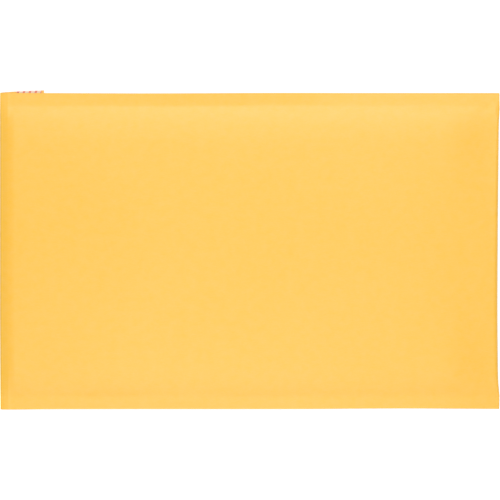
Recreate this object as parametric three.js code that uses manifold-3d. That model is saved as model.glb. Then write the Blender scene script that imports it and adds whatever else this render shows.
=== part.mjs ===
// A padded mailing envelope, empty and not yet stuck down, lying face up on its back.
//
// One sheet of kraft paper makes the whole outside. It runs from the free edge of the flap, round
// the flap's fold, along the front, round the bottom fold and back to the mouth. A bag of bubble
// film lines it, and both long sides are sealed flat through paper and film. The flap is folded
// under the back and still carries its glue and the strip that protects the glue.
//
// X runs from the flap's fold to the bottom fold, Y runs across the sealed sides, and Z is up.
// The origin is on the table, under the centre of the envelope. Sizes are in millimetres.

import * as THREE from "three";
import { mergeVertices } from "three/addons/utils/BufferGeometryUtils.js";
import Module from "manifold-3d";

// Overall sizes
const LENGTH = 406; // flap's fold to bottom fold, at the sealed sides
const WIDTH = 257; // cut edge to cut edge
const THICKNESS = 8.2; // over the padded middle

// Sheet goods
const PAPER = 0.2; // kraft with the film that is bonded to it
const SEALED_FILM = 0.2; // both layers of lining where a seam has melted them flat
const GLUE = 0.1;
const STRIP = 0.1; // the siliconed paper over the glue
const BOND = 0.1; // clearance between two layers that are bonded or stuck together

// Sealed sides and pocket
const SEAM = 10.4; // width of each sealed margin
const CROWN = 30; // run over which the padding swells from a seam to its full height
const POCKET = 1; // gap between the two layers of lining over the padded middle
const POCKET_EDGE = 0.04; // the same gap where the pocket meets a seam

// Bottom fold: it rises beside each seam and then arches up to the middle
const FOLD_RISE = 20; // run of the rise beside a seam
const FOLD_RISE_SHARE = 0.5; // share of the fold's height that this rise reaches
const FOLD_PRESSED = 0.85; // the fold's height in the middle, against the padding's
const END_RUN = 48; // run over which both panels come down to the fold

// Mouth and flap
const MOUTH_INSET = 5.3; // the lining and the back end this far inside the flap's fold
const MOUTH_SLOPE = 13; // run over which the padding is pressed down towards the fold
const MOUTH_SHARE = 0.5; // share of the padding's height that is left at the fold
const FLAP = 35.4; // fold to free edge
const FLAP_SETTLE = 0.6; // share by which the flap's ends sink from the seams to the table
const FLAP_PROUD_FAR = 2.1; // how far the flap's free corner stands past the far side (+Y)
const FLAP_PROUD_NEAR = 0.3; // and past the near side (-Y)
const FLAP_FLARE = 0.6; // power of the flare along the flap: below 1 it is quickest at the fold
const STRIP_WIDTH = 20;
const STRIP_MARGIN = 2; // bare paper between the strip and the flap's free edge
const GLUE_WIDTH = 13;
const LIFT_RUN = 25; // run over which the back comes down to the table beside the flap

// How finely the curves are divided
const ARC_STEPS = 12;
const CROWN_STEPS = 7;
const ARCH_STEPS = 4;
const SLOPE_STEPS = 5;
const FLAP_STEPS = 4;
const LIFT_STEPS = 5;
const END_STEPS = 6;
const SAME_POINT = 1e-4; // corners nearer than this are one

// Sizes that follow from those above
const MIDDLE = THICKNESS / 2; // height of the sealed margins' middle plane
const SEAM_HALF = PAPER + BOND + SEALED_FILM / 2; // half the thickness of a sealed margin
const LINING_DEPTH = PAPER + BOND; // from the kraft's outside to the lining
const FLAP_STACK = PAPER + BOND + GLUE + BOND + STRIP + BOND; // flap's outside to back's outside
const SLOPE_END_X = -LENGTH / 2 + MOUTH_SLOPE;
const FLAP_EDGE_X = -LENGTH / 2 + FLAP;
const MOUTH_X = -LENGTH / 2 + MOUTH_INSET;
const END_X = LENGTH / 2 - END_RUN;
const SEAM_LINE = WIDTH / 2 - SEAM; // where the padding starts, on each side

const share = (value) => THREE.MathUtils.clamp(value, 0, 1);
const steps = (from, to, count) =>
  Array.from({ length: count + 1 }, (_, i) => THREE.MathUtils.lerp(from, to, i / count));

// 0 on a sealed margin, then a parabola up to 1 after a run
const rise = (y, run) => 1 - (1 - share((SEAM_LINE - Math.abs(y)) / run)) ** 2;
const crown = (y) => rise(y, CROWN);

// The same at the bottom fold, which was pressed most near its corners
function foldCrown(y) {
  const arch = 1 - share(Math.abs(y) / SEAM_LINE) ** 2;
  return FOLD_PRESSED * THREE.MathUtils.lerp(arch, rise(y, FOLD_RISE), FOLD_RISE_SHARE);
}

// Half the envelope's thickness at the fold of the flap, on a side whose padding is this much less
const halfAtMouth = (y, less) =>
  SEAM_HALF + (MIDDLE - SEAM_HALF - less) * crown(y) * MOUTH_SHARE;

// The flap's fold goes round both layers at the mouth and the glue's stack below them
function flapFold(y) {
  const top = MIDDLE + halfAtMouth(y, 0);
  const bottom = MIDDLE - halfAtMouth(y, FLAP_STACK) - FLAP_STACK;
  const radius = (top - bottom) / 2;
  return { x: -LENGTH / 2 + radius, z: (top + bottom) / 2, radius };
}

// The bottom fold is a half circle as high as the padding there. The paper that goes round a fat
// stretch of it is taken from the length, so the fold draws in from the sealed corners.
function bottomFold(y) {
  const radius = SEAM_HALF + (MIDDLE - SEAM_HALF) * foldCrown(y);
  const x = LENGTH / 2 - SEAM_HALF - (Math.PI / 2) * (radius - SEAM_HALF);
  return { x, z: MIDDLE, radius };
}

// Half the envelope's thickness anywhere on a panel whose padding is this much less
function halfHeight(x, y, less) {
  const foldX = flapFold(y).x;
  const nearness = 1 - share((x - foldX) / (SLOPE_END_X - foldX));
  const pressed = 1 - (1 - MOUTH_SHARE) * nearness ** 2;
  const ending = THREE.MathUtils.smoothstep(x, END_X, bottomFold(y).x);
  const padding = THREE.MathUtils.lerp(crown(y) * pressed, foldCrown(y), ending);
  return SEAM_HALF + (MIDDLE - SEAM_HALF - less) * padding;
}

// The back is lifted off the table by the flap below it and comes down beside the flap's edge
const lift = (x) =>
  FLAP_STACK * (1 - THREE.MathUtils.smoothstep(x, FLAP_EDGE_X, FLAP_EDGE_X + LIFT_RUN));

// Heights of the outside faces of the front, the back and the flap
const frontFace = (x, y) => MIDDLE + halfHeight(x, y, 0);
const backFace = (x, y) => MIDDLE - halfHeight(x, y, lift(x));

// How far along the flap a point is, from 0 at its fold to 1 at its free edge
const alongFlap = (x, y) => share((x - flapFold(y).x) / (FLAP_EDGE_X - flapFold(y).x));

function flapFace(x, y) {
  const settled = FLAP_SETTLE * (1 - crown(y)) * alongFlap(x, y);
  return (backFace(x, y) - FLAP_STACK) * (1 - settled);
}

// The flap's side edges flare out a little past the sealed sides
function flapY(x, y) {
  const proud = y > 0 ? FLAP_PROUD_FAR : FLAP_PROUD_NEAR;
  return y + ((proud * y) / (WIDTH / 2)) * alongFlap(x, y) ** FLAP_FLARE;
}

const onBody = (x, y, z) => new THREE.Vector3(x, y, z);
const onFlap = (x, y, z) => new THREE.Vector3(x, flapY(x, y), z);

// Points of a fold seen from the near side, from one angle to another in degrees
function foldArc(fold, y, inset, from, to) {
  return steps(from, to, ARC_STEPS).map((degrees) => {
    const angle = THREE.MathUtils.degToRad(degrees);
    const radius = fold.radius - inset;
    return onBody(fold.x + radius * Math.cos(angle), y, fold.z + radius * Math.sin(angle));
  });
}

// Stations across the width: the sealed margins, the swelling beside each, and the wide middle
const padded = [
  ...steps(SEAM_LINE, SEAM_LINE - CROWN, CROWN_STEPS),
  ...steps(SEAM_LINE - CROWN, 0, ARCH_STEPS).slice(1, -1),
];
const mirrored = (side) => [...side.map((y) => -y), 0, ...side.toReversed()];
const pocketWidth = mirrored(padded);
const fullWidth = mirrored([WIDTH / 2, ...padded]);

// Stations along the flap, the front and the back, from the left end to the right. They share the
// ones over the slopes at both ends, so that facets of neighbouring layers lie parallel.
const slopeStations = steps(MOUTH_X, SLOPE_END_X, SLOPE_STEPS);
const endStations = (y) => steps(END_X, bottomFold(y).x, END_STEPS);
const flapStations = (y) => [
  flapFold(y).x,
  ...slopeStations,
  ...steps(SLOPE_END_X, FLAP_EDGE_X, FLAP_STEPS).slice(1),
];
const frontStations = (y) => [flapFold(y).x, ...slopeStations, ...endStations(y)];
const backStations = (y) => [
  ...slopeStations,
  ...steps(FLAP_EDGE_X, FLAP_EDGE_X + LIFT_RUN, LIFT_STEPS),
  ...endStations(y),
];

// A closed solid lofted across the width between two skins. A skin is a function that gives the
// line of its points at a station, and both skins' lines have the same number of points.
function loft(stations, outerLine, innerLine) {
  const outer = stations.map(outerLine);
  const inner = stations.map(innerLine);
  const lastRow = outer.length - 1;
  const lastColumn = outer[0].length - 1;
  const over = (row, column) => row * (lastColumn + 1) + column;
  const under = (row, column) => over(lastRow + 1 + row, column);
  const corners = [];
  const quad = (a, b, c, d) => corners.push(a, b, c, a, c, d);
  for (let r = 0; r < lastRow; r++) {
    for (let c = 0; c < lastColumn; c++) {
      quad(over(r, c), over(r, c + 1), over(r + 1, c + 1), over(r + 1, c));
      quad(under(r, c), under(r + 1, c), under(r + 1, c + 1), under(r, c + 1));
    }
    quad(over(r, 0), over(r + 1, 0), under(r + 1, 0), under(r, 0));
    quad(over(r + 1, lastColumn), over(r, lastColumn), under(r, lastColumn), under(r + 1, lastColumn));
  }
  for (let c = 0; c < lastColumn; c++) {
    quad(over(0, c + 1), over(0, c), under(0, c), under(0, c + 1));
    quad(over(lastRow, c), over(lastRow, c + 1), under(lastRow, c + 1), under(lastRow, c));
  }
  const geometry = new THREE.BufferGeometry().setFromPoints([...outer, ...inner].flat());
  geometry.setIndex(corners);
  return withoutSlivers(mergeVertices(geometry, SAME_POINT));
}

// Where two skins meet in a line, some triangles have two corners in one place
function withoutSlivers(geometry) {
  const index = geometry.index.array;
  const kept = [];
  for (let i = 0; i < index.length; i += 3) {
    const [a, b, c] = index.slice(i, i + 3);
    if (a !== b && b !== c && c !== a) kept.push(a, b, c);
  }
  return geometry.setIndex(kept);
}

// The kraft sheet, as one line from the flap's free edge to the mouth
function kraftLine(y, inset) {
  return [
    ...flapStations(y).reverse().map((x) => onFlap(x, y, flapFace(x, y) + inset)),
    ...foldArc(flapFold(y), y, inset, -90, -270).slice(1, -1),
    ...frontStations(y).map((x) => onBody(x, y, frontFace(x, y) - inset)),
    ...foldArc(bottomFold(y), y, inset, 90, -90).slice(1, -1),
    ...backStations(y).reverse().map((x) => onBody(x, y, backFace(x, y) + inset)),
  ];
}

const kraftCover = () =>
  loft(
    fullWidth,
    (y) => kraftLine(y, 0),
    (y) => kraftLine(y, PAPER),
  );

// Half of the lining's outline, above (side 1) or below (side -1) the sealed margins' middle
// plane: from the mouth along its panel and round to the tip of the bottom fold
function liningLine(y, side) {
  const face = side > 0 ? frontFace : backFace;
  const alongPanel = backStations(y).slice(0, -1);
  return [
    ...alongPanel.map((x) => onBody(x, y, face(x, y) - side * LINING_DEPTH)),
    ...foldArc(bottomFold(y), y, LINING_DEPTH, side * 90, 0),
  ];
}

// The same for the pocket between the two layers, which runs out through the mouth
function pocketLine(y, side) {
  const radius = (POCKET_EDGE + (POCKET - POCKET_EDGE) * crown(y)) / 2;
  const beyondMouth = onBody(-LENGTH / 2, y, MIDDLE + side * radius);
  return [beyondMouth, ...foldArc({ ...bottomFold(y), radius }, y, 0, side * 90, 0)];
}

const bothHalves = (stations, line) =>
  loft(
    stations,
    (y) => line(y, 1),
    (y) => line(y, -1),
  );

// A strip that lies on the inside of the flap, at a height above the flap's outside face
function stripOnFlap(from, to, height, thickness) {
  const between = flapStations(0).filter((x) => x > from && x < to);
  const line = (y, above) =>
    [from, ...between, to].map((x) => onFlap(x, y, flapFace(x, y) + above));
  return loft(
    fullWidth,
    (y) => line(y, height + thickness),
    (y) => line(y, height),
  );
}

const wasm = await Module();
wasm.setup();

function toManifold(geometry) {
  return new wasm.Manifold(
    new wasm.Mesh({
      numProp: 3,
      vertProperties: geometry.getAttribute("position").array,
      triVerts: new Uint32Array(geometry.index.array),
    }),
  );
}

function fromManifold(solid) {
  const mesh = solid.getMesh();
  return new THREE.BufferGeometry()
    .setAttribute("position", new THREE.BufferAttribute(mesh.vertProperties, mesh.numProp))
    .setIndex(new THREE.BufferAttribute(mesh.triVerts, 1));
}

// The bag of bubble film: its outer form, with the pocket cut out through the mouth
function bubbleLining() {
  const outside = toManifold(bothHalves(fullWidth, liningLine));
  const pocket = toManifold(bothHalves(pocketWidth, pocketLine));
  return fromManifold(outside.subtract(pocket));
}

// The glue is laid on the bare flap, and the strip covers it with a dry edge on both sides
const STRIP_END_X = FLAP_EDGE_X - STRIP_MARGIN;
const STRIP_START_X = STRIP_END_X - STRIP_WIDTH;
const GLUE_START_X = STRIP_START_X + (STRIP_WIDTH - GLUE_WIDTH) / 2;
const GLUE_HEIGHT = PAPER + BOND;
const STRIP_HEIGHT = GLUE_HEIGHT + GLUE + BOND;

const glueLine = () => stripOnFlap(GLUE_START_X, GLUE_START_X + GLUE_WIDTH, GLUE_HEIGHT, GLUE);
const releaseStrip = () => stripOnFlap(STRIP_START_X, STRIP_END_X, STRIP_HEIGHT, STRIP);

const finish = (color, roughness) =>
  new THREE.MeshStandardMaterial({ color, roughness, metalness: 0 });
const kraft = finish(0xf7cc6c, 0.82);
const film = finish(0xe9eef0, 0.3);
const hotMelt = finish(0xe8d9a8, 0.35);
const siliconePaper = finish(0xf2efe9, 0.45);

function piece(name, geometry, material) {
  geometry.computeVertexNormals();
  const mesh = new THREE.Mesh(geometry, material);
  mesh.name = name;
  return mesh;
}

const envelope = new THREE.Group();
envelope.add(piece("kraft_cover", kraftCover(), kraft));
envelope.add(piece("bubble_lining", bubbleLining(), film));
envelope.add(piece("glue_line", glueLine(), hotMelt));
envelope.add(piece("release_strip", releaseStrip(), siliconePaper));

export default envelope;
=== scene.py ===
# %% [markdown]
# # A padded envelope
# This lesson dresses a plain model of a mailing envelope. The real thing is one sheet of golden
# kraft paper, folded round a bag of bubble film and sealed flat along both long sides. It is
# empty, it lies face up, and its flap is folded under the back with the glue still covered.
# The plain model gives the sizes. Blender gives the paper its soft swelling, its creases and its
# fibres, and the film its bubbles.

import bpy
import numpy as np
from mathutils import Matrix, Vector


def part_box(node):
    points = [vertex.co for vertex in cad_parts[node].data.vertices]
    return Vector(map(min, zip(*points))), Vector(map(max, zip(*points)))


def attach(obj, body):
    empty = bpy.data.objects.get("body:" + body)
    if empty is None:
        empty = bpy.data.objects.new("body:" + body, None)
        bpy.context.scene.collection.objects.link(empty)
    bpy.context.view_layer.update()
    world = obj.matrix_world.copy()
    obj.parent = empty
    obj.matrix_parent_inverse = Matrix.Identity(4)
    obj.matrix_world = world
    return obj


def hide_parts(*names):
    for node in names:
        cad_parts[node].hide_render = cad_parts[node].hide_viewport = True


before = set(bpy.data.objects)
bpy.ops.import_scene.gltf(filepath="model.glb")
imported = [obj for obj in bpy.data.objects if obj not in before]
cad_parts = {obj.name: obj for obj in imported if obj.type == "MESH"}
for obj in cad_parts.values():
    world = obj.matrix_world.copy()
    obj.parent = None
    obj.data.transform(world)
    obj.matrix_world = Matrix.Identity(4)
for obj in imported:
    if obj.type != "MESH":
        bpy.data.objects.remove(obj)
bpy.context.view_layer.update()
MM = 0.001

# %% [markdown]
# ## Read the sizes off the plain model
# Sizes could be typed in again, but then two files would have to agree for ever. Reading them
# from the boxes of the plain pieces keeps the looks in step with the model. Only what a box can't
# tell, such as the width of a seam, is written here.

# %% Sizes
cover_low, cover_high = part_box("kraft_cover")
lining_low, lining_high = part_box("bubble_lining")
strip_low, strip_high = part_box("release_strip")
glue_low, glue_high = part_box("glue_line")

LEFT = cover_low.x
RIGHT = cover_high.x
HALF_WIDTH = lining_high.y
THICKNESS = cover_high.z
MIDDLE = THICKNESS / 2
MOUTH_INSET = lining_low.x - LEFT
STRIP_MARGIN = 2 * MM
FLAP = strip_high.x - LEFT + STRIP_MARGIN
FLAP_PROUD_FAR = cover_high.y - HALF_WIDTH
FLAP_PROUD_NEAR = -HALF_WIDTH - cover_low.y

SEAM = 10.4 * MM
SEAM_LINE = HALF_WIDTH - SEAM
print(f"flap {FLAP / MM:.1f}, seam line {SEAM_LINE / MM:.1f}, thickness {THICKNESS / MM:.1f} mm")

# %% Layers
PAPER = 0.2 * MM
LAYER_GAP = 0.1 * MM
GLUE = 0.1 * MM
STRIP = 0.1 * MM
SEALED_FILM = 0.2 * MM

SEAM_HALF = PAPER + LAYER_GAP + SEALED_FILM / 2
GLUE_DEPTH = PAPER + LAYER_GAP
STRIP_DEPTH = GLUE_DEPTH + GLUE + LAYER_GAP
FLAP_STACK = STRIP_DEPTH + STRIP + LAYER_GAP
print(f"half a seam {SEAM_HALF / MM:.1f}, the flap with its layers {FLAP_STACK / MM:.1f} mm thick")

# %% [markdown]
# ## Small unevenness
# Paper that was folded and sealed by a machine is never quite flat. A few crossing waves with
# seeded directions give a smooth unevenness that is the same on every run. Noise modifiers could
# do it too, but here the glue, the strip and the film have to follow the same waves.

# %% Waves
def waves(x, y, length, count, seed):
    """Crossing waves of about one length, mostly between -1 and 1."""
    rng = np.random.default_rng(seed)
    total = 0.0
    for _ in range(count):
        heading, phase = rng.uniform(0, 2 * np.pi, 2)
        turns = 2 * np.pi / (length * rng.uniform(0.7, 1.5))
        total = total + np.cos(turns * (x * np.cos(heading) + y * np.sin(heading)) + phase)
    return total / np.sqrt(count)


def smooth(value):
    """0 below 0, 1 above 1, and an even curve between."""
    t = np.clip(value, 0, 1)
    return t * t * (3 - 2 * t)


def dip(x, at, width, height=1):
    """The height at one place, falling away on both sides."""
    return height * np.exp(-(((x - at) / width) ** 2))


print("a smooth step at its quarters:", smooth(np.array([0, 0.25, 0.5, 0.75, 1])))

# %% [markdown]
# ## The shape of a stuffed envelope
# Both panels are flat in the middle, where the bubbles hold them apart, and swell down to the
# sealed sides. Near the flap's fold the padding is pressed down. One function gives the height of
# the outside at any place, so that paper, film, glue and strip can all be laid from it.

# %% Swelling of the panels
CREASE = 0.02
CROWN = 30 * MM


def rise(y, run):
    """0 on a sealed side, then a parabola up to 1, with a slightly rounded start."""
    t = (SEAM_LINE - abs(y)) / run
    t = min((t + np.sqrt(t * t + CREASE**2)) / 2, 1)
    return 1 - (1 - t) ** 2


def crown(y):
    return rise(y, CROWN)


print("swelling 15 mm inside the seam line:", round(crown(SEAM_LINE - 15 * MM), 2))

# %% Swelling of the bottom fold
FOLD_RISE = 20 * MM
FOLD_PRESSED = 0.85
FOLD_PEAK = -40 * MM
FAR_ARCH = 1.5
NEAR_ARCH = 2
FAR_BESIDE = 0.37
NEAR_BESIDE = 0.5


def fold_crown(y):
    """The same at the bottom fold, which is fattest a little to the near side."""
    far = y > FOLD_PEAK
    reach = SEAM_LINE - FOLD_PEAK if far else SEAM_LINE + FOLD_PEAK
    arch = 1 - min(abs(y - FOLD_PEAK) / reach, 1) ** (FAR_ARCH if far else NEAR_ARCH)
    beside = FAR_BESIDE if far else NEAR_BESIDE
    return FOLD_PRESSED * (beside * rise(y, FOLD_RISE) + (1 - beside) * arch)


print("height of the bottom fold's middle, against the padding:", round(fold_crown(FOLD_PEAK), 2))

# %% [markdown]
# ## Where the ends and the sealed sides lie
# The envelope isn't quite a rectangle. The flap was folded a little out of square, and the sealed
# sides stand free of the table and curl. A curl could be sculpted, but then each layer in the seam
# would need it too. So it is a slope outwards from the seam line. The far side has a crest near
# its middle and a drop towards the bottom fold, and the near side has a trough. Crest and trough
# are given as a place, a width and a height.

# %% The two ends
FOLD_LEAN = 0.38 * MM
LEAN_START = 40 * MM
LEAN_RUN = 95 * MM
END_LEAN = 0.15 * MM
END_LEAN_START = 0.7


def left_at(y):
    """The fold of the flap leans in on the near side."""
    return LEFT - FOLD_LEAN / 2 + FOLD_LEAN * smooth((-y - LEAN_START) / LEAN_RUN)


def right_at(y):
    return RIGHT + END_LEAN * (END_LEAN_START + y / HALF_WIDTH)


for side in (HALF_WIDTH, -HALF_WIDTH):
    ends = left_at(side) / MM, right_at(side) / MM
    print("ends on one side, mm:", [round(float(end), 2) for end in ends])

# %% The two sealed sides
HELD_RUN = 60 * MM
FAR_CURL = 0.03
FAR_CURL_CREST = (-15 * MM, 60 * MM, 0.05)
FAR_CURL_DROP = 0.075
DROP_START = 30 * MM
DROP_RUN = 50 * MM
NEAR_CURL = -0.05
NEAR_CURL_TROUGH = (-50 * MM, 90 * MM, -0.06)
RIPPLE = 0.12 * MM
RIPPLE_LENGTH = 70 * MM
RIPPLE_START = 8 * MM
RIPPLE_RUN = 18 * MM


def seam_curl(x, far):
    if far:
        drop = FAR_CURL_DROP * smooth((x - DROP_START) / DROP_RUN)
        return FAR_CURL + dip(x, *FAR_CURL_CREST) - drop
    return NEAR_CURL + dip(x, *NEAR_CURL_TROUGH)


def middle_at(x, y):
    """Middle height between front and back, level up to the seams and uneven beyond them."""
    far = y > 0
    held = smooth((x - LEFT) / HELD_RUN)
    ripple = RIPPLE * waves(x, 0, RIPPLE_LENGTH, 4, 1 if far else 2)
    beyond = abs(y) - SEAM_LINE
    curled = seam_curl(x, far) * max(beyond, 0)
    return MIDDLE + held * (curled + ripple * smooth((beyond + RIPPLE_START) / RIPPLE_RUN))


for side in (HALF_WIDTH, -HALF_WIDTH):
    print("middle of a sealed edge, mm:", round(float(middle_at(0, side)) / MM, 2))

# %% [markdown]
# ## Heights of the outside
# The panels stand as high as the bubbles hold them apart, and come together at both ends. They
# could be two swollen grids, but the folds between them would then have to be fitted by hand. Here
# each height is a formula, and the centre and radius of a fold follow from the panels that it
# joins. The flap lies under the back and lifts it by the thickness of its own layers, and beyond
# the flap's edge the back comes down to the table.

# %% The two folds
WEDGE = 0.35 * MM
MOUTH_SHARE = 0.5


def half_at_mouth(y, less):
    return SEAM_HALF + (MIDDLE - SEAM_HALF - less) * crown(y) * MOUTH_SHARE


def flap_fold(y):
    """Centre and radius of the fold of the flap, which is pressed tighter on the sealed sides."""
    top = MIDDLE + half_at_mouth(y, 0)
    bottom = MIDDLE - half_at_mouth(y, FLAP_STACK) - FLAP_STACK
    radius = (top - bottom) / 2 - WEDGE * (1 - crown(y))
    return left_at(y) + radius, (top + bottom) / 2, radius


def wedge(x, y):
    """How far the front and the flap close up towards the fold, where no layer is between them."""
    near = 1 - np.clip((x - flap_fold(y)[0]) / MOUTH_INSET, 0, 1)
    return WEDGE * (1 - crown(y)) * near**2


def bottom_fold(y):
    """The paper that goes round the padding is taken from the length, so the fold draws in."""
    radius = SEAM_HALF + (MIDDLE - SEAM_HALF) * fold_crown(y)
    tip = right_at(y) - SEAM_HALF
    return tip - np.pi / 2 * (radius - SEAM_HALF), middle_at(RIGHT, y), radius


for y in (0, HALF_WIDTH):
    radii = flap_fold(y)[2] / MM, bottom_fold(y)[2] / MM
    print("radius of both folds, mm:", [round(float(radius), 2) for radius in radii])

# %% Height of the front
MOUTH_SLOPE = 13 * MM
END_RUN = 48 * MM
FRONT_WAVE = 0.22 * MM
FRONT_WAVE_LENGTH = 95 * MM
FOLD_CALM = 10 * MM
END_CALM = 8 * MM
CALM_RUN = 30 * MM
EDGE_RIDGE = 0.12 * MM
RIDGE_PAST_MOUTH = 1.2 * MM
RIDGE_WIDTH = 1.1 * MM
RIDGE_PRESSED = 0.7
CORNER_RISE_X = (RIGHT - 3.5 * MM, 4 * MM, 0.8 * MM)
CORNER_RISE_Y = (SEAM_LINE - 2.5 * MM, 4 * MM)


def half_height(x, y, less):
    fold_x, end_x = flap_fold(y)[0], bottom_fold(y)[0]
    nearness = 1 - np.clip((x - fold_x) / (left_at(y) + MOUTH_SLOPE - fold_x), 0, 1)
    pressed = crown(y) * (1 - (1 - MOUTH_SHARE) * nearness**2)
    ending = smooth((x - RIGHT + END_RUN) / (end_x - RIGHT + END_RUN))
    return SEAM_HALF + (MIDDLE - SEAM_HALF - less) * (pressed + (fold_crown(y) - pressed) * ending)


def front_face(x, y):
    """The front has broad waves, a ridge over the lining's cut edge and a raised far corner."""
    uneven = FRONT_WAVE * crown(y) * waves(x, y, FRONT_WAVE_LENGTH, 5, 3)
    uneven = uneven * smooth((x - LEFT - FOLD_CALM) / CALM_RUN)
    uneven = uneven * smooth((RIGHT - END_CALM - x) / CALM_RUN)
    ridge_x = left_at(y) + MOUTH_INSET + RIDGE_PAST_MOUTH
    ridge = dip(x, ridge_x, RIDGE_WIDTH, EDGE_RIDGE * (1 - RIDGE_PRESSED * crown(y)))
    corner = dip(x, *CORNER_RISE_X) * dip(y, *CORNER_RISE_Y)
    return middle_at(x, y) + half_height(x, y, 0) + uneven + ridge + corner - wedge(x, y)


print("height of the front, mm:", round(float(front_face(0, 0)) / MM, 2))

# %% Heights of the back and the flap
LIFT_RUN = 25 * MM
FLAP_SETTLE = 0.6


def back_face(x, y):
    flap_edge = left_at(y) + FLAP
    lift = FLAP_STACK * (1 - smooth((x - flap_edge) / LIFT_RUN))
    return middle_at(x, y) - half_height(x, y, lift)


def along_flap(x, y):
    fold_x = flap_fold(y)[0]
    return np.clip((x - fold_x) / (left_at(y) + FLAP - fold_x), 0, 1)


def flap_face(x, y):
    settled = FLAP_SETTLE * (1 - crown(y)) * along_flap(x, y)
    return (back_face(x, y) - FLAP_STACK) * (1 - settled) + wedge(x, y)


print("height of the back over the flap, mm:", round(float(back_face(LEFT + FLAP, 0)) / MM, 2))

# %% [markdown]
# ## Fold the flat sheet
# The cover is cut flat and then folded, so it is modelled in the same order. A point of the flat
# sheet has a distance along the paper, counted from the flap's fold, and a place across it. The
# section at that place across is walked from the flap's free edge round both folds to the mouth,
# and the point goes where its distance falls. Paper doesn't stretch, so this keeps its length
# true, and the fat middle of the bottom fold draws in by itself. A bend modifier can't turn two
# folds of a radius that changes, and a cloth simulation would have to be told all this anyway.

# %% Parts of a section
SLOPE_POINTS = 40
PANEL_POINTS = 380
ARC_POINTS = 61
END_BLEND = 20 * MM


def arc(centre_x, centre_z, radius, start, end):
    angle = np.radians(np.linspace(start, end, ARC_POINTS))
    return centre_x + radius * np.cos(angle), centre_z + radius * np.sin(angle)


def panel_x(slope_tip, slope_end, end_x):
    """Places from the flap's fold to the bottom fold, closer together on the slope."""
    slope = np.linspace(slope_tip, slope_end, SLOPE_POINTS)
    return np.concatenate([slope, np.linspace(slope_end, end_x, PANEL_POINTS)[1:]])


def met(x, z, end_x, end_z):
    """A panel's heights, bent near its end to meet the bottom fold."""
    miss = end_z - z[np.argmax(x)]
    return z + miss * smooth((x - end_x + END_BLEND) / END_BLEND)


print("points of a panel:", len(panel_x(0, 1, 2)), "and of a fold:", ARC_POINTS)

# %% The section at one place across
FLAP_POINTS = 90
SPARE = 5 * MM


def section(y):
    """The outside line in X and Z, its direction outwards, and the length of paper along it."""
    left = left_at(y)
    fold_x, fold_z, fold_r = flap_fold(y)
    end_x, end_z, end_r = bottom_fold(y)
    slope_end = left + MOUTH_SLOPE
    flap_x = np.linspace(left + FLAP + SPARE, fold_x, FLAP_POINTS)
    front_x = panel_x(fold_x, slope_end, end_x)[1:]
    back_x = panel_x(left - SPARE, slope_end, end_x)[::-1][1:]
    fold_line = arc(fold_x, fold_z, fold_r, -90, -270)
    end_line = arc(end_x, end_z, end_r, 90, -90)
    front_z = met(front_x, front_face(front_x, y), end_x, end_z + end_r)
    back_z = met(back_x, back_face(back_x, y), end_x, end_z - end_r)
    x = np.concatenate([flap_x, fold_line[0][1:], front_x, end_line[0][1:], back_x])
    z = np.concatenate([flap_face(flap_x, y), fold_line[1][1:], front_z, end_line[1][1:], back_z])
    length = np.concatenate([[0], np.cumsum(np.hypot(np.diff(x), np.diff(z)))])
    length -= length[FLAP_POINTS - 1 + ARC_POINTS // 2]
    along_x, along_z = np.gradient(x, length), np.gradient(z, length)
    size = np.hypot(along_x, along_z)
    return x, z, -along_z / size, along_x / size, length


print("points of a section:", len(section(0)[0]))

# %% [markdown]
# ## Across the envelope
# The flap's free edge flares past both long sides. The far one stands a little further out than on
# the plain model, because it hangs lower and so looks smaller from above. The padding pulls the
# sides in, more in some places than in others.

# %% Across, and into the folded place
CORNER_PROUD = 0.3 * MM
FLARE_POWER = 0.6
FAR_DRAWN = 0.08 * MM
FAR_DRAWN_MORE = (-78 * MM, 75 * MM, 0.4 * MM)
NEAR_DRAWN = -0.1 * MM
NEAR_DRAWN_MORE = (130 * MM, 68 * MM, 0.56 * MM)
NEAR_DRAWN_LESS = (LEFT + 8 * MM, 22 * MM, -0.28 * MM)


def across(x, y, s):
    """Where a point lies across the folded envelope: the flap flares, and the padding draws in."""
    flare = np.where(y > 0, FLAP_PROUD_FAR + CORNER_PROUD, FLAP_PROUD_NEAR) * y / HALF_WIDTH
    flare = flare * np.clip(-s / FLAP, 0, 1) ** FLARE_POWER
    drawn_far = FAR_DRAWN + dip(x, *FAR_DRAWN_MORE)
    drawn_near = NEAR_DRAWN + dip(x, *NEAR_DRAWN_MORE) + dip(x, *NEAR_DRAWN_LESS)
    drawn = np.where(y > 0, drawn_far, drawn_near) * y / HALF_WIDTH
    return y + flare - np.where(s > 0, drawn, 0)


def folded(s, y, depth):
    """Puts points of the flat sheet in their folded place, at a depth under its outside."""
    s, y, depth = np.broadcast_arrays(s, y, depth)
    places = np.empty((*s.shape, 3))
    for station in np.unique(y):
        here = y == station
        x, z, out_x, out_z, length = section(station)
        at = s[here]
        places[here, 0] = np.interp(at, length, x) - depth[here] * np.interp(at, length, out_x)
        places[here, 2] = np.interp(at, length, z) - depth[here] * np.interp(at, length, out_z)
        places[here, 1] = across(places[here, 0], station, at)
    places[..., 2] = np.maximum(places[..., 2], 0)
    return places


flap_corner = across(LEFT + FLAP, HALF_WIDTH, -FLAP)
print("far corner of the flap, mm:", round(float(flap_corner) / MM, 2))

# %% [markdown]
# ## Lengths along the paper
# The flat sheet's own sizes aren't known yet. They could be worked out for each fold, but it is
# simpler to fold one section and to read off how far along it the ends and the bottom fold lie.
# The sealed edge is the one to read, because there all the layers were cut square.

# %% Lengths along the paper
FOLD_TIP = 0.5 * MM
edge_section = section(HALF_WIDTH)


def paper_length(x, back=False):
    """How far along the paper a place on the sealed edge's front, back or flap is."""
    line, length = edge_section[0], edge_section[4]
    turn = int(np.argmax(line))
    part = slice(turn, None) if back else slice(int(np.argmin(line[:turn])), turn)
    order = np.argsort(line[part])
    return float(np.interp(x, line[part][order], length[part][order]))


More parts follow.
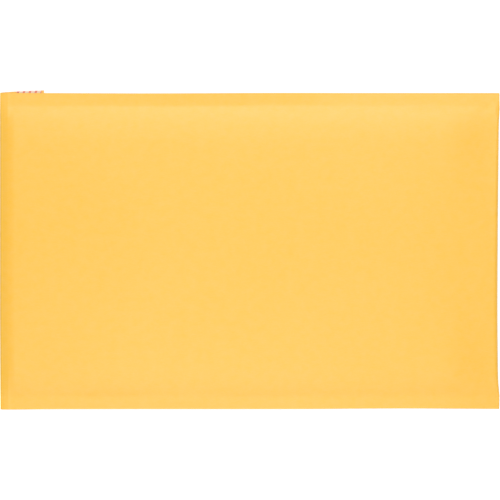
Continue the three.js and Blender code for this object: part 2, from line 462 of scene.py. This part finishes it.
FOLD_LAG = paper_length(left_at(HALF_WIDTH) + FLAP) - FLAP
SHEET_START = -(FLAP + FOLD_LAG)
SHEET_END = paper_length(left_at(HALF_WIDTH) + MOUTH_INSET, back=True)
TURN = paper_length(RIGHT - FOLD_TIP)
print(f"flat sheet {(SHEET_END - SHEET_START) / MM:.0f} by {2 * HALF_WIDTH / MM:.0f} mm")

# %% [markdown]
# ## A grid with its lines where the paper bends
# A folded sheet needs close lines at its folds and seams and few elsewhere. Blender's grid has
# even ones, so the grid is added first and its lines are then moved to the stations that the
# paper needs. The front gets closer lines than the back, because it is the side that shows.

# %% Stations
def stations(*runs):
    """Places along a line: each run is (end, step), from the end of the run before."""
    places = [runs[0][0]]
    for end, step in runs[1:]:
        count = max(int(round((end - places[-1]) / step)), 1)
        places += list(np.linspace(places[-1], end, count + 1)[1:])
    return np.array(places)


def mirrored(half):
    return np.concatenate([-half[::-1], half[half > 0] if half[0] == 0 else half])


print("stations of a run, for example:", mirrored(stations((0, None), (2, 1), (3, 0.5))))

# %% A folded grid, and its thickness
def select_only(thing):
    bpy.ops.object.select_all(action="DESELECT")
    thing.select_set(True)
    bpy.context.view_layer.objects.active = thing


def folded_grid(name, along, over, depth):
    """A grid of the sheet's stations, folded, with the flat sheet as its UV map, in metres."""
    bpy.ops.object.select_all(action="DESELECT")
    bpy.ops.mesh.primitive_grid_add(x_subdivisions=len(along) - 1, y_subdivisions=len(over) - 1, size=1)
    sheet = bpy.context.active_object
    sheet.name = sheet.data.name = name
    even = np.array([v.co[:2] for v in sheet.data.vertices]) + 0.5
    column, row = np.rint(even * (len(along) - 1, len(over) - 1)).astype(int).T
    s, y = along[column], over[row]
    places = folded(s, y, depth(s, y) if callable(depth) else depth)
    sheet.data.vertices.foreach_set("co", places.astype(np.float32).ravel())
    sheet.data.update()
    corners = np.array([loop.vertex_index for loop in sheet.data.loops])
    flat = np.stack([s, y], 1)[corners]
    sheet.data.uv_layers[0].name = "flat_sheet"
    sheet.data.uv_layers[0].data.foreach_set("uv", flat.astype(np.float32).ravel())
    return sheet


def thicken(sheet, thickness, **options):
    """Turns a sheet into a thin solid, inwards from its outside."""
    select_only(sheet)
    solidify = sheet.modifiers.new("Thickness", "SOLIDIFY")
    solidify.thickness = thickness
    solidify.offset = -1
    for option, value in options.items():
        setattr(solidify, option, value)
    bpy.ops.object.modifier_apply(modifier=solidify.name)


def triangles(thing):
    return sum(len(p.vertices) - 2 for p in thing.data.polygons)


# %% [markdown]
# ## The kraft cover
# Under the paper the film's bubbles stand in rows, like eggs in a tray, and a finger feels them
# through it. Three crossing waves make exactly that hexagonal pattern, and it is kept under a
# tenth of a millimetre, because the photo hardly shows it. Small puckers run in from each seam,
# where flat paper meets swollen paper. Both are true shape, moved vertex by vertex.

# %% Bubbles that show through
BUBBLE_PITCH = 11.9 * MM
ROW_PITCH = BUBBLE_PITCH * np.sqrt(3) / 2
RELIEF_MARGIN = 12 * MM
RELIEF_RUN = 15 * MM
TURN_CALM = 9 * MM


def crowns(y):
    return np.vectorize(crown)(y)


def bubble_rows(s, y):
    """1 over each bubble and -0.5 between them."""
    turns = 2 * np.pi / ROW_PITCH
    headings = np.radians([30, 90, 150])
    return sum(np.cos(turns * (s * np.cos(a) + y * np.sin(a))) for a in headings) / 3


def padded_share(s, y):
    """1 over the padding, falling to 0 at the seams, at both ends and round the bottom fold."""
    after_fold = smooth((s - RELIEF_MARGIN) / RELIEF_RUN)
    before_mouth = smooth((SHEET_END - RELIEF_MARGIN - s) / RELIEF_RUN)
    return crowns(y) * after_fold * (1 - dip(s, TURN, TURN_CALM)) * before_mouth


print("rows of bubbles, mm apart:", round(float(ROW_PITCH) / MM, 1))

# %% Puckers at the seams, and the whole relief
TELEGRAPH = 0.07 * MM
PATCH_LENGTH = 60 * MM
PATCH_MEAN = 0.75
PATCH_SWING = 0.35

PUCKER = 0.1 * MM
PUCKER_LENGTH = 13 * MM
PUCKER_REACH = 6 * MM
PUCKER_START = 1.5 * MM
PUCKER_FROM_FOLD = 20 * MM


def pucker_share(s, y):
    """Quickly up from the seam line and slowly down towards the middle."""
    inward = SEAM_LINE - np.abs(y)
    share = np.exp(-inward / PUCKER_REACH) * (1 - np.exp(-inward / PUCKER_START))
    return np.where(inward > 0, share, 0) * smooth(s / PUCKER_FROM_FOLD)


def paper_relief(s, y):
    """How far the paper stands proud of its even form, as a depth, so outwards is negative."""
    patchy = PATCH_MEAN + PATCH_SWING * waves(s, y, PATCH_LENGTH, 4, 5)
    bubbles = TELEGRAPH * (bubble_rows(s, y) + 0.5) * patchy * padded_share(s, y)
    puckers = PUCKER * waves(s, 0, PUCKER_LENGTH, 6, 7) * pucker_share(s, y)
    return -(bubbles + puckers)


middle_relief = paper_relief(np.linspace(0, TURN, 200), np.zeros(200))
print("relief along the middle, mm:", round(float(np.ptp(middle_relief)) / MM, 3))

# %% [markdown]
# ## Cut, fold and thicken the sheet
# The real sheet is cut with its flap, folded and then sealed. It could be thickened while it is
# flat, but then its inner face would need lengths of its own round each fold. So one face is
# folded, and it is thickened inwards afterwards, as a fold in real paper squeezes its inner face.

# %% Cut, fold and thicken the kraft
FOLD_STEP = 0.72 * MM
FINE = 0.9 * MM
SEAM_STEP = 1.7 * MM
FRONT_STEP = 2.2 * MM
BACK_STEP = 3.4 * MM
TURN_RUN = 12 * MM

sheet_stations = stations(
    (SHEET_START, None),
    (-9 * MM, FRONT_STEP),
    (16 * MM, FOLD_STEP),
    (TURN - TURN_RUN, FRONT_STEP),
    (TURN + TURN_RUN, FINE),
    (SHEET_END - 15 * MM, BACK_STEP),
    (SHEET_END, BACK_STEP / 2),
)
across_stations = mirrored(stations(
    (0, None),
    (SEAM_LINE - 8 * MM, FRONT_STEP),
    (SEAM_LINE + 2 * MM, FINE),
    (HALF_WIDTH, SEAM_STEP),
))
kraft_cover = folded_grid("kraft_sheet", sheet_stations, across_stations, paper_relief)
thicken(kraft_cover, PAPER, material_offset=1, material_offset_rim=2)
print("kraft grid:", len(sheet_stations), "by", len(across_stations))
print("kraft:", triangles(kraft_cover), "triangles")

# %% [markdown]
# ## The glue and its strip
# The glue is a band along the inside of the flap, and a strip of siliconed paper covers it until
# the envelope is used. Both could be cut from the folded flap's mesh, but on the real envelope
# they were laid on the flat sheet. So they are folded as the paper is, a little deeper.

# %% Glue line and release strip
def flap_band(name, low, high, step, depth, thickness):
    """A band on the inside of the flap, between two places on its sealed edge."""
    near, far = -(low - LEFT + FOLD_LAG), -(high - LEFT + FOLD_LAG)
    band = folded_grid(name, stations((far, None), (near, step)), across_stations, depth)
    thicken(band, thickness)
    return band


release_strip = flap_band("release_paper", strip_low.x, strip_high.x, 2 * MM, STRIP_DEPTH, STRIP)
glue_line = flap_band("flap_glue", glue_low.x, glue_high.x, 3 * MM, GLUE_DEPTH, GLUE)
for piece in (release_strip, glue_line):
    print(piece.name, triangles(piece), "triangles")

# %% [markdown]
# ## One bubble
# An air bubble is a small dome with a flat top. A sphere cut in half would do, but it would have
# far too many faces for a shape that is set down more than a thousand times. So a disc with ten
# sides is extruded in three steps, each smaller than the last. The height becomes a depth under
# the panel later, which turns the dome over, so the order of each face's points is turned too.

# %% One bubble, modelled by hand
BUBBLE_RADIUS = 4.9 * MM
BUBBLE_SIDES = 10
BUBBLE_STEPS = ((0.45, 0.93), (0.35, 0.8), (0.2, 0.5))

bpy.ops.object.select_all(action="DESELECT")
bpy.ops.mesh.primitive_circle_add(vertices=BUBBLE_SIDES, radius=BUBBLE_RADIUS, fill_type="NGON")
bubble = bpy.context.active_object
bpy.ops.object.mode_set(mode="EDIT")
bpy.ops.mesh.select_all(action="SELECT")
for step_up, spread in BUBBLE_STEPS:
    bpy.ops.mesh.extrude_region_move(TRANSFORM_OT_translate={"value": (0, 0, step_up)})
    bpy.ops.transform.resize(value=(spread, spread, 1))
bpy.ops.object.mode_set(mode="OBJECT")
bubble_points = np.array([v.co[:] for v in bubble.data.vertices])
bubble_points[:, 2] /= bubble_points[:, 2].max()
bubble_faces = [list(p.vertices)[::-1] for p in bubble.data.polygons]
bpy.data.objects.remove(bubble)
print("one bubble:", len(bubble_points), "points,", len(bubble_faces), "faces")

# %% [markdown]
# ## The film with its bubbles
# The lining is film with air bubbles on its inner face, in the close hexagonal pattern of the
# roller that formed them. Instances could stand on the film, but real bubbles bend with the panel
# and are lower where the padding is thin. So the points of each copy are folded as the film's are,
# as deep as the room between its panel and the pocket allows.

# %% The film
FILM = 0.08 * MM
LINING_DEPTH = PAPER + LAYER_GAP
FILM_DEPTH = LINING_DEPTH + FILM
FILM_STEP = 5 * MM
film_start = paper_length(left_at(HALF_WIDTH) + MOUTH_INSET)
film_stations = stations(
    (film_start, None),
    (film_start + 12 * MM, 2 * MM),
    (TURN - TURN_RUN, FILM_STEP),
    (TURN + TURN_RUN, 1.2 * MM),
    (SHEET_END, FILM_STEP),
)
film_across = mirrored(stations(
    (0, None),
    (SEAM_LINE - CROWN, 6 * MM),
    (SEAM_LINE, 3 * MM),
    (HALF_WIDTH, FILM_STEP),
))
lining = folded_grid("bubble_film", film_stations, film_across, LINING_DEPTH)
thicken(lining, FILM)
print("film:", triangles(lining), "triangles")

# %% A bubble on each place of the pattern
POCKET = 1 * MM
LOWEST_BUBBLE = 0.6 * MM
MOUTH_RUN = MOUTH_SLOPE + 6 * MM
DECIMALS = 5

row_count = int(SEAM_LINE / ROW_PITCH)
column_range = range(int(film_start / BUBBLE_PITCH), int(SHEET_END / BUBBLE_PITCH) + 1)
lattice = np.array([
    ((column + (row % 2) / 2) * BUBBLE_PITCH, row * ROW_PITCH)
    for row in range(-row_count, row_count + 1)
    for column in column_range
])
room = (MIDDLE - SEAM_HALF) * crowns(lattice[:, 1]) - FILM_DEPTH - POCKET / 2
kept = lattice[:, 0] > film_start + BUBBLE_RADIUS
kept &= lattice[:, 0] < SHEET_END - BUBBLE_RADIUS
kept &= np.abs(lattice[:, 0] - TURN) > TURN_RUN
kept &= room > LOWEST_BUBBLE
lattice, room = lattice[kept], room[kept]

s = lattice[:, :1] + bubble_points[:, 0]
y = lattice[:, 1:] + bubble_points[:, 1]
from_mouth = np.minimum(s, SHEET_END - s)
mouth_room = 1 - (1 - MOUTH_SHARE) * (1 - smooth(from_mouth / MOUTH_RUN))
depth = FILM_DEPTH + room[:, None] * bubble_points[:, 2] * mouth_room
starts = (np.arange(len(lattice)) * len(bubble_points)).tolist()
# Places across are rounded to 0.01 mm, so that fewer sections have to be walked.
bubbles_mesh = bpy.data.meshes.new("bubbles")
bubbles_mesh.from_pydata(
    folded(s, np.round(y, DECIMALS), depth).reshape(-1, 3).tolist(),
    [],
    [[start + i for i in face] for start in starts for face in bubble_faces],
)
bubbles = bpy.data.objects.new("bubbles", bubbles_mesh)
bpy.context.scene.collection.objects.link(bubbles)
print(len(lattice), "bubbles,", triangles(bubbles), "triangles")

# %% [markdown]
# ## Paper fibres
# Kraft is cloudy when looked at closely: long fibres lie mostly along the web, and the dye takes a
# little unevenly. The clouds, the streaks and the fibre relief are one node group, because the
# outside, the inside and the cut edge all use it with their own strengths.

# %% Node helpers
def new_material(name):
    material = bpy.data.materials.new(name)
    material.use_nodes = True
    material.node_tree.nodes.clear()
    return material


def add(tree, kind, inputs=(), **settings):
    """Adds a node. An input is a value, or the socket that it is linked from."""
    node = tree.nodes.new(kind)
    for setting, value in settings.items():
        setattr(node, setting, value)
    for socket, value in dict(inputs).items():
        if isinstance(value, bpy.types.NodeSocket):
            tree.links.new(value, node.inputs[socket])
        else:
            node.inputs[socket].default_value = value
    return node


def calc(tree, operation, *values, clamp=False):
    """One step of arithmetic on sockets or numbers."""
    node = add(tree, "ShaderNodeMath", enumerate(values), operation=operation, use_clamp=clamp)
    return node.outputs[0]


# %% Fibres of the paper
CLOUD_STRETCH = (0.75, 1, 1)
STREAK_STRETCH = (0.12, 1, 1)
CLOUD_SCALE = 165
STREAK_SCALE = 1900
BROAD_SCALE = 11


def paper_group():
    tree = bpy.data.node_groups.new("Paper fibres", "ShaderNodeTree")
    tree.interface.new_socket("Vector", in_out="INPUT", socket_type="NodeSocketVector")
    for name in ("Clouds", "Streaks"):
        tree.interface.new_socket(name, in_out="INPUT", socket_type="NodeSocketFloat")
    for name in ("Tone", "Broad", "Relief"):
        tree.interface.new_socket(name, in_out="OUTPUT", socket_type="NodeSocketFloat")
    given = add(tree, "NodeGroupInput").outputs
    web = add(tree, "ShaderNodeMapping", {"Vector": given["Vector"], "Scale": CLOUD_STRETCH})
    clouds = add(tree, "ShaderNodeTexNoise", {
        "Vector": web.outputs[0], "Scale": CLOUD_SCALE, "Detail": 5, "Roughness": 0.7,
    }).outputs["Fac"]
    hair = add(tree, "ShaderNodeMapping", {"Vector": given["Vector"], "Scale": STREAK_STRETCH})
    streaks = add(tree, "ShaderNodeTexNoise", {
        "Vector": hair.outputs[0], "Scale": STREAK_SCALE, "Detail": 3, "Roughness": 0.6,
        "Distortion": 0.4,
    }).outputs["Fac"]
    broad = add(tree, "ShaderNodeTexNoise", {
        "Vector": given["Vector"], "Scale": BROAD_SCALE, "Detail": 2, "Roughness": 0.5,
    }).outputs["Fac"]
    cloudy = calc(tree, "MULTIPLY", calc(tree, "SUBTRACT", clouds, 0.5), given["Clouds"])
    streaky = calc(tree, "MULTIPLY", calc(tree, "SUBTRACT", streaks, 0.5), given["Streaks"])
    tone = calc(tree, "ADD", calc(tree, "ADD", cloudy, streaky), 0.5)
    relief = calc(tree, "ADD", clouds, streaks)
    add(tree, "NodeGroupOutput", {"Tone": tone, "Broad": broad, "Relief": relief})
    return tree


PAPER_FIBRES = paper_group()
print("fibre group:", len(PAPER_FIBRES.nodes), "nodes")

# %% [markdown]
# ## Kraft, inside and out
# The outside is calendered, so it has a soft sheen, and the inside and the cut edge are duller.
# All three mix a darker and a lighter gold by the fibres' tone, and the fold of the flap is
# painted a little darker, as painted shade on its rounded crease, most where the padding fills
# it. The pattern is read from the flat sheet, so it runs round the folds without a break.

# %% Helpers for a finish that follows the sheet
def fade(tree, value, start, end, at_start, at_end=0):
    """An even curve from one value to another, as an input goes from start to end."""
    node = add(tree, "ShaderNodeMapRange", {
        "Value": value, "From Min": start, "From Max": end, "To Min": at_start, "To Max": at_end,
    }, interpolation_type="SMOOTHSTEP")
    return node.outputs[0]


def flat_place(tree):
    """A point's place on the flat sheet, in metres, whole and as its parts along and across."""
    flat = add(tree, "ShaderNodeUVMap", uv_map="flat_sheet").outputs["UV"]
    parts = add(tree, "ShaderNodeSeparateXYZ", {0: flat}).outputs
    return flat, parts["X"], parts["Y"]


# %% Kraft materials
BROAD_SHARE = 0.35
# Painted shade on the flap's fold: its strength, its run along the paper from the crease, and its fade
# towards the sealed sides.
FOLD_SHADE = 0.45
FOLD_SHADE_RUN = (1 * MM, 5 * MM)
FOLD_SHADE_ACROSS = (80 * MM, 125 * MM)
FIBRE_HEIGHT = 0.02 * MM


def kraft(name, dark, light, roughness, clouds, streaks, relief):
    material = new_material(name)
    tree = material.node_tree
    flat, along, over = flat_place(tree)
    fibres = add(tree, "ShaderNodeGroup", node_tree=PAPER_FIBRES)
    tree.links.new(flat, fibres.inputs["Vector"])
    fibres.inputs["Clouds"].default_value = clouds
    fibres.inputs["Streaks"].default_value = streaks
    broad = calc(tree, "MULTIPLY", fibres.outputs["Broad"], BROAD_SHARE)
    tone = calc(tree, "ADD", fibres.outputs["Tone"], broad)
    tone = calc(tree, "SUBTRACT", tone, BROAD_SHARE / 2)
    # Painted shade: the tone is darkened along the flap's fold, most across the padded middle.
    crease_shade = fade(tree, calc(tree, "ABSOLUTE", along), *FOLD_SHADE_RUN, FOLD_SHADE)
    padded = fade(tree, calc(tree, "ABSOLUTE", over), *FOLD_SHADE_ACROSS, 1)
    tone = calc(tree, "SUBTRACT", tone, calc(tree, "MULTIPLY", crease_shade, padded), clamp=True)
    colour = add(tree, "ShaderNodeMix", {
        "Factor": tone, 6: (*dark, 1), 7: (*light, 1),
    }, data_type="RGBA")
    bump = add(tree, "ShaderNodeBump", {
        "Height": fibres.outputs["Relief"], "Strength": relief, "Distance": FIBRE_HEIGHT,
    })
    surface = add(tree, "ShaderNodeBsdfPrincipled", {
        "Base Color": colour.outputs[2], "Roughness": roughness, "Normal": bump.outputs[0],
    })
    add(tree, "ShaderNodeOutputMaterial", {"Surface": surface.outputs[0]})
    return material


KRAFT_FINISHES = (
    kraft("Kraft outside", (0.970, 0.522, 0.030), (0.985, 0.562, 0.094), 0.32, 1.4, 1.1, 0.3),
    # The inside is a deeper gold than the outside: partly the inner face's own colour, and partly
    # painted shade, as its visible bit lies in the shade of the flap's corner.
    kraft("Kraft inside", (0.92, 0.43, 0.020), (0.95, 0.50, 0.060), 0.8, 1.2, 0.6, 0.8),
    kraft("Kraft cut edge", (0.90, 0.50, 0.06), (0.95, 0.60, 0.14), 0.9, 1.5, 1.0, 0.6),
)
for finish in KRAFT_FINISHES:
    kraft_cover.data.materials.append(finish)
print("kraft finishes:", [finish.name for finish in KRAFT_FINISHES])

# %% [markdown]
# ## Release strip
# The strip is off-white siliconed paper, with dashes of short slanted red bars along it. A picture
# could hold them. Two patterns of stripes on the flat sheet's own coordinates do it too, one for
# the bars and one for the dashes, and they stay sharp however close the camera comes.

# %% Release strip
STRIP_PAPER = (0.92, 0.72, 0.55)
STRIP_RED = (0.80, 0.22, 0.14)
STRIP_ROUGHNESS = 0.45
BAR_SLANT = 0.343
BAR_PITCH = 4.85 * MM
BAR_WIDTH = 1.9 * MM
DASH_CENTRE = 125 * MM
DASH_PITCH = 30 * MM
DASH_LENGTH = 16 * MM


def stripe(tree, value, pitch, width):
    """1 inside stripes of one width, a pitch apart, and 0 between them."""
    nearest = calc(tree, "PINGPONG", value, pitch / 2)
    return calc(tree, "LESS_THAN", nearest, width / 2)


strip_paper = new_material("Siliconed paper")
tree = strip_paper.node_tree
flat, along, over = flat_place(tree)
slid = calc(tree, "ADD", along, calc(tree, "MULTIPLY", over, BAR_SLANT))
bar = stripe(tree, slid, BAR_PITCH, BAR_WIDTH)
dash = stripe(tree, calc(tree, "SUBTRACT", over, DASH_CENTRE), DASH_PITCH, DASH_LENGTH)
colour = add(tree, "ShaderNodeMix", {
    "Factor": calc(tree, "MULTIPLY", bar, dash), 6: (*STRIP_PAPER, 1), 7: (*STRIP_RED, 1),
}, data_type="RGBA")
surface = add(tree, "ShaderNodeBsdfPrincipled", {
    "Base Color": colour.outputs[2], "Roughness": STRIP_ROUGHNESS,
})
add(tree, "ShaderNodeOutputMaterial", {"Surface": surface.outputs[0]})
release_strip.data.materials.append(strip_paper)
print("bars across the strip:", round((strip_high.x - strip_low.x) / BAR_PITCH, 1))

# %% [markdown]
# ## Glue and film
# The glue is pale hot melt, and the film is clear polythene that looks milky in layers. The film
# could be pure glass, but so thin a sheet hardly bends the light. So it lets part of the light
# through and scatters the rest. Both are smooth, with a gloss that is a little uneven.

# %% Glue and bubble film
GLOSS_CLOUDS = 60
GLOSS_LOWEST = 0.8
GLOSS_HIGHEST = 1.25


def plastic(name, colour, roughness, clear=0.0):
    """A plain plastic whose gloss is a little uneven."""
    material = new_material(name)
    tree = material.node_tree
    where = add(tree, "ShaderNodeTexCoord").outputs["Object"]
    cloud = add(tree, "ShaderNodeTexNoise", {"Vector": where, "Scale": GLOSS_CLOUDS, "Detail": 2})
    rough = add(tree, "ShaderNodeMapRange", {
        "Value": cloud.outputs["Fac"],
        "To Min": roughness * GLOSS_LOWEST,
        "To Max": roughness * GLOSS_HIGHEST,
    })
    surface = add(tree, "ShaderNodeBsdfPrincipled", {
        "Base Color": (*colour, 1), "Roughness": rough.outputs[0], "Transmission Weight": clear,
    })
    add(tree, "ShaderNodeOutputMaterial", {"Surface": surface.outputs[0]})
    return material


glue_line.data.materials.append(plastic("Hot melt glue", (0.82, 0.72, 0.42), 0.3))
film_material = plastic("Bubble film", (0.86, 0.90, 0.92), 0.22, clear=0.6)
lining.data.materials.append(film_material)
bubbles.data.materials.append(film_material)
select_only(lining)
bubbles.select_set(True)
bpy.ops.object.join()
print("film with its bubbles:", triangles(lining), "triangles")

# %% [markdown]
# ## Smooth shading, and what each piece stands for
# Paper and film are smooth, but their cut edges are square, so shading is smooth only where faces
# meet at a low angle. Each new piece then takes the place of its plain solid.

# %% Finish the pieces
SHARP = np.radians(40)
STANDS_FOR = (
    (kraft_cover, "kraft_cover", "kraft"),
    (lining, "bubble_lining", "bubble_film"),
    (glue_line, "glue_line", "glue"),
    (release_strip, "release_strip", "release_paper"),
)
for piece, node, slot in STANDS_FOR:
    select_only(piece)
    bpy.ops.object.shade_smooth_by_angle(angle=SHARP)
    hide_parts(node)
    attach(piece, "root")
    print(piece.name, "stands for", node, "with", triangles(piece), "triangles")

# %% [markdown]
# ## White table and sky
# The envelope lies on pure white, in the photo as here. More light would make a grey table white,
# but it would bleach the paper as well. So the table and the sky are white to the camera, in
# reflections and through the film, and light the paper only as a white board and a dull sky do.
# The table keeps the envelope's soft shadow, and it can't be seen from below.

# %% White table
TABLE_SIZE = 6
WHITE = (1, 1, 1, 1)
TABLE_SEEN = (0.45, 0.45, 0.45, 1)
TABLE_GLOW = 0.75
TABLE_BOUNCE = (0.80, 0.80, 0.80, 1)
SKY_LIGHT = 0.34
SKY_SEEN = 1.0


def seen_directly(tree):
    """1 for what the camera, a reflection or a clear piece shows, and 0 for light on the object."""
    ray = add(tree, "ShaderNodeLightPath").outputs
    seen = calc(tree, "MAXIMUM", ray["Is Camera Ray"], ray["Is Glossy Ray"])
    return calc(tree, "MAXIMUM", seen, ray["Is Transmission Ray"])


bpy.ops.object.select_all(action="DESELECT")
bpy.ops.mesh.primitive_plane_add(size=TABLE_SIZE, location=(0, 0, 0))
table = bpy.context.active_object
table.name = "table"
white = new_material("White table")
tree = white.node_tree
board = add(tree, "ShaderNodeBsdfDiffuse", {"Color": TABLE_SEEN})
glow = add(tree, "ShaderNodeEmission", {"Color": WHITE, "Strength": TABLE_GLOW})
both = add(tree, "ShaderNodeAddShader", {0: board.outputs[0], 1: glow.outputs[0]})
bounce = add(tree, "ShaderNodeBsdfDiffuse", {"Color": TABLE_BOUNCE})
shown = add(tree, "ShaderNodeMixShader", {
    0: seen_directly(tree), 1: bounce.outputs[0], 2: both.outputs[0],
})
back = add(tree, "ShaderNodeNewGeometry")
see_through = add(tree, "ShaderNodeBsdfTransparent")
one_sided = add(tree, "ShaderNodeMixShader", {
    0: back.outputs["Backfacing"], 1: shown.outputs[0], 2: see_through.outputs[0],
})
add(tree, "ShaderNodeOutputMaterial", {"Surface": one_sided.outputs[0]})
table.data.materials.append(white)
print("table:", TABLE_SIZE, "m square")

# %% Sky
world = bpy.data.worlds.new("White sky")
bpy.context.scene.world = world
world.use_nodes = True
sky = world.node_tree
sky.nodes.clear()
level = add(sky, "ShaderNodeMix", {
    "Factor": seen_directly(sky), 2: SKY_LIGHT, 3: SKY_SEEN,
}, data_type="FLOAT")
backdrop = add(sky, "ShaderNodeBackground", {"Color": WHITE, "Strength": level.outputs[0]})
add(sky, "ShaderNodeOutputWorld", {"Surface": backdrop.outputs[0]})
print("sky:", len(sky.nodes), "nodes")

# %% [markdown]
# ## Three soft lamps
# The photo has a pale band along the slope beside the far seam, and it darkens gently towards the
# folds. A sun or a spot would draw hard edges, so three wide rectangular lamps light the envelope.
# One stands beyond the far side and makes the band, a weaker one stands on the near side, and a
# third one hangs high up and lights the flat of the front.

# %% Lamps
def soft_lamp(name, place, size, watts):
    """A rectangular lamp that faces the envelope, with its first side along X."""
    bpy.ops.object.select_all(action="DESELECT")
    bpy.ops.object.light_add(type="AREA", location=place)
    lamp = bpy.context.active_object
    lamp.name = name
    lamp.data.shape = "RECTANGLE"
    lamp.data.size, lamp.data.size_y = size
    lamp.data.energy = watts
    lamp.rotation_euler = lamp.location.to_track_quat("Z", "Y").to_euler()
    lamp.visible_camera = False
    print(name, "stands", round(lamp.location.length, 2), "m away")


soft_lamp("far_lamp", (0.06, 0.91, 1.38), (1.30, 0.30), 7.8)
soft_lamp("near_lamp", (-0.03, -0.46, 1.10), (0.90, 0.85), 5.2)
soft_lamp("top_lamp", (0.04, 0.48, 2.00), (1.50, 0.67), 8.0)

# %% [markdown]
# ## Camera
# The photo looks straight down, and its rectangle is almost true. An orthographic camera would
# make it quite true, but a real one shows low parts a little smaller than high ones. So the camera
# hangs a little over a metre above the middle and has a long lens, and the size of a pixel on the
# envelope gives its focal length.

# %% Camera
PIXEL = 0.813 * MM
PICTURE = 500
CENTRE_PIXEL = (249.87, 251.0)
HEIGHT = 1.10
view_x = (PICTURE / 2 - CENTRE_PIXEL[0]) * PIXEL
view_y = (CENTRE_PIXEL[1] - PICTURE / 2) * PIXEL
bpy.ops.object.camera_add(location=(view_x, view_y, HEIGHT + MIDDLE), rotation=(0, 0, 0))
camera = bpy.context.active_object
camera.data.sensor_width = 36
camera.data.lens = camera.data.sensor_width * HEIGHT / (PICTURE * PIXEL)
bpy.context.scene.camera = camera
bpy.context.scene.view_settings.view_transform = "Standard"
print("lens, mm:", round(camera.data.lens, 1))
